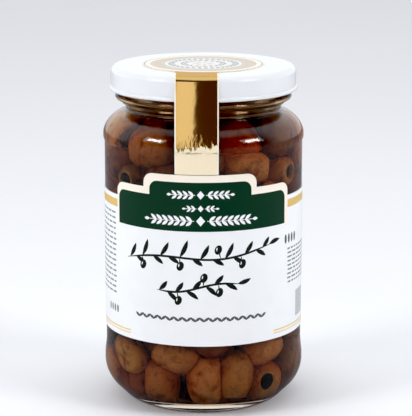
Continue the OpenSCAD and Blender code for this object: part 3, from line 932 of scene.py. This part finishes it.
# Below the ragged border: painted reflection of the bright floor, a matt pale cream that is hardly metallic.
painted_floor_reflection = add(tree, "ShaderNodeMapRange", {"Value": down.outputs[0], "From Min": -(PAINTED_REFLECTION_TOP + 0.2) * MM,
                                        "From Max": -(PAINTED_REFLECTION_TOP - 0.2) * MM})
colour = add(tree, "ShaderNodeMix", {0: painted_floor_reflection.outputs["Result"], 6: linear("d9b674"), 7: linear("fdf0d2")},
             data_type="RGBA")
metal = add(tree, "ShaderNodeMapRange", {"Value": painted_floor_reflection.outputs["Result"], "To Min": 1.0, "To Max": 0.15})
rough = add(tree, "ShaderNodeMapRange", {"Value": painted_floor_reflection.outputs["Result"], "To Min": 0.12, "To Max": 0.45})
soft = add(tree, "ShaderNodeTexNoise", {"Vector": place, "Scale": 1 / (5 * MM), "Detail": 2.0})
wavy = add(tree, "ShaderNodeBump", {"Height": soft.outputs["Fac"], "Strength": 0.35, "Distance": 0.25 * MM})
rubbed = add(tree, "ShaderNodeMapRange", {"Value": down.outputs[0], "From Min": -(PAINTED_REFLECTION_TOP + 5.5) * MM,
                                          "From Max": -(PAINTED_REFLECTION_TOP + 0.5) * MM, "To Max": 0.8})
relief = add(tree, "ShaderNodeBump", {"Height": ragged.outputs["Fac"], "Strength": rubbed.outputs["Result"],
                                      "Distance": 0.3 * MM, "Normal": wavy.outputs["Normal"]})
surface(tree, out, {"Base Color": colour.outputs[2], "Metallic": metal.outputs["Result"],
                    "Specular Tint": (0.78, 0.58, 0.33, 1.0), "Roughness": rough.outputs["Result"],
                    "Normal": relief.outputs["Normal"]})

count = len(strip[0])
seal_faces = strip[1] + [tuple(v + count for v in f) for f in disc[1]]
piece("foil_seal", np.concatenate([strip[0], disc[0]]), seal_faces, "seal",
      [foil_gold, printed("cream_ink_on_foil_paper", "faf3e4"), printed("beige_ink_on_foil_paper", "d2c6b8"),
       printed("grey_ink_on_foil_paper", "8c8c8a"), printed("pale_ink_on_foil_paper", "eaebe8")],
      strip[2] + disc[2])

# %% [markdown]
# ## The lid
#
# The lid's shape comes straight from the CAD, because nothing is missing from it: a shallow
# cap with a rolled rim. Real ones are tinplate, coated with white lacquer and stoved, which
# leaves a glossy skin with a very slight ripple called orange peel, about a millimetre from
# crest to crest.

# %% White lacquer on tinplate
lacquer, tree, out = material("white_lacquered_tinplate")
place = add(tree, "ShaderNodeTexCoord").outputs["Object"]
peel = add(tree, "ShaderNodeTexNoise", {"Vector": place, "Scale": 1 / (1.2 * MM), "Detail": 1.0})
ripple = add(tree, "ShaderNodeBump", {"Height": peel.outputs["Fac"], "Strength": 0.12, "Distance": 0.03 * MM})
cloud = add(tree, "ShaderNodeTexNoise", {"Vector": place, "Scale": 1 / (15 * MM)})
tone = add(tree, "ShaderNodeValToRGB", {"Fac": cloud.outputs["Fac"]},
           stops=[(0.3, "e4e8ec"), (0.7, "eaeef2")])
surface(tree, out, {"Base Color": tone.outputs["Color"], "Roughness": 0.28, "Coat Weight": 0.3,
                    "Coat Roughness": 0.12, "Normal": ripple.outputs["Normal"]})
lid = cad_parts["lid"]
lid.data.materials.clear()
lid.data.materials.append(lacquer)
print("lid: the CAD's own", len(lid.data.polygons), "faces")

# %% [markdown]
# ## Studio
#
# A pale floor that runs far back, two softboxes at the front, left and right, that draw the
# short bright lines on the shoulder, a tall reflector that fills the left of the foil, and a
# room that is bright behind the jar and overhead, and dark on the camera's side, for the
# foil to mirror. A softbox is brightest in its middle, so each is two lights, a small strong
# one in front of a wide weak one, and its highlight has soft ends.
#
# Clear glass mirrors the floor, and that pale veil would hide the dark oil. In a studio, a
# polarising filter takes it off. Here the floor shows its full white to the camera and in
# the light that it throws back, and a third of it in reflections and through the glass.

# %% Floor
FLOOR_HALF, IN_REFLECTIONS = 4.0, 0.35
mesh = bpy.data.meshes.new("floor")
corners = [(x * FLOOR_HALF, y * FLOOR_HALF, 0) for x, y in ((-1, -1), (1, -1), (1, 1), (-1, 1))]
mesh.from_pydata(corners, [], [(0, 1, 2, 3)])
floor = bpy.data.objects.new("floor", mesh)
bpy.context.scene.collection.objects.link(floor)
matt, tree, out = material("matt_white_board")
place = add(tree, "ShaderNodeTexCoord").outputs["Object"]
cloud = add(tree, "ShaderNodeTexNoise", {"Vector": place, "Scale": 3.0})
tone = add(tree, "ShaderNodeValToRGB", {"Fac": cloud.outputs["Fac"]},
           stops=[(0.3, "eef0f4"), (0.7, "f1f2f6")])
rays = add(tree, "ShaderNodeLightPath")
plain = add(tree, "ShaderNodeMath", {0: rays.outputs["Is Camera Ray"], 1: rays.outputs["Is Diffuse Ray"]},
            operation="MAXIMUM")
dimmed = add(tree, "ShaderNodeVectorMath", {0: tone.outputs["Color"], "Scale": IN_REFLECTIONS},
             operation="SCALE")
shown = add(tree, "ShaderNodeMix", {0: plain.outputs[0], 6: dimmed.outputs["Vector"],
                                    7: tone.outputs["Color"]}, data_type="RGBA")
surface(tree, out, {"Base Color": shown.outputs[2], "Roughness": 0.7, "Specular IOR Level": 0.2})
mesh.materials.append(matt)

# %% Lights
AIM_Z = 0.08


def softbox(name, turn, rise, wide, tall, brightness, distance=1.2):
    """A light that faces the jar: degrees right of the front, degrees up, sizes and distance."""
    light = bpy.data.lights.new(name, "AREA")
    light.shape, light.size, light.size_y = "RECTANGLE", wide, tall
    light.energy = brightness * math.pi * wide * tall
    obj = bpy.data.objects.new(name, light)
    a, e = math.radians(turn), math.radians(rise)
    obj.location = (distance * math.sin(a) * math.cos(e), -distance * math.cos(a) * math.cos(e),
                    AIM_Z + distance * math.sin(e))
    obj.rotation_euler = (math.pi / 2 - e, 0, a)
    bpy.context.scene.collection.objects.link(obj)
    print(name, "at", [round(c, 2) for c in obj.location])


for side, turn in (("left", -61), ("right", 61)):
    softbox("softbox_" + side, turn, 29, 0.54, 0.40, 3.0)
    softbox("softbox_core_" + side, turn, 29, 0.34, 0.20, 19.0, 1.19)
softbox("reflector", -22, 14, 0.50, 0.62, 1.1)

# %% The room
BRIGHT_ROOM, DARK_ROOM = (1.06, 1.09, 1.11, 1), (0.085, 0.04, 0.03, 1)
world = bpy.data.worlds.new("studio")
bpy.context.scene.world = world
world.use_nodes = True
tree = world.node_tree
tree.nodes.clear()
way = add(tree, "ShaderNodeSeparateXYZ", {0: add(tree, "ShaderNodeTexCoord").outputs["Generated"]})
front = add(tree, "ShaderNodeMapRange", {"Value": way.outputs["Y"], "From Min": 0.2, "From Max": -0.35},
            interpolation_type="SMOOTHSTEP")
low_down = add(tree, "ShaderNodeMapRange", {"Value": way.outputs["Z"], "From Min": 0.94, "From Max": 0.74},
               interpolation_type="SMOOTHSTEP")
dark = add(tree, "ShaderNodeMath", {0: front.outputs["Result"], 1: low_down.outputs["Result"]},
           operation="MULTIPLY")
room = add(tree, "ShaderNodeMix", {0: dark.outputs[0], 6: BRIGHT_ROOM, 7: DARK_ROOM}, data_type="RGBA")
seen = add(tree, "ShaderNodeLightPath").outputs["Is Camera Ray"]
both = add(tree, "ShaderNodeMix", {0: seen, 6: room.outputs[2], 7: linear("e8ecf1")}, data_type="RGBA")
background = add(tree, "ShaderNodeBackground", {"Color": both.outputs[2], "Strength": 1.0})
add(tree, "ShaderNodeOutputWorld", {"Surface": background.outputs[0]})

# %% [markdown]
# ## Camera
#
# The jar is seen from a little above, through a long lens, as for a catalogue, so that its
# sides stay nearly parallel. The camera looks down at its middle. The last settings give
# the picture a plain contrast, with slightly deeper darks.

# %% Camera
FOCAL_MM, FILM_MM, AWAY, UP, LOOK_DOWN, PAN = 164.37, 36.0, 0.6622, 0.2130, 12.391, -0.001387
lens = bpy.data.cameras.new("camera")
lens.lens, lens.sensor_width, lens.clip_end = FOCAL_MM, FILM_MM, 20.0
camera = bpy.data.objects.new("camera", lens)
camera.location = (0.0, -AWAY, UP)
camera.rotation_euler = (math.radians(90 - LOOK_DOWN), 0.0, PAN)
bpy.context.scene.collection.objects.link(camera)
bpy.context.scene.camera = camera
print("camera:", round(math.hypot(AWAY, UP), 3), "m off, looking", LOOK_DOWN, "degrees down")

# %% The picture's contrast
picture = bpy.context.scene.view_settings
picture.view_transform = "Standard"
picture.use_curve_mapping = True
picture.curve_mapping.black_level = (0.013, 0.013, 0.013)
picture.curve_mapping.update()
print("view transform:", picture.view_transform)
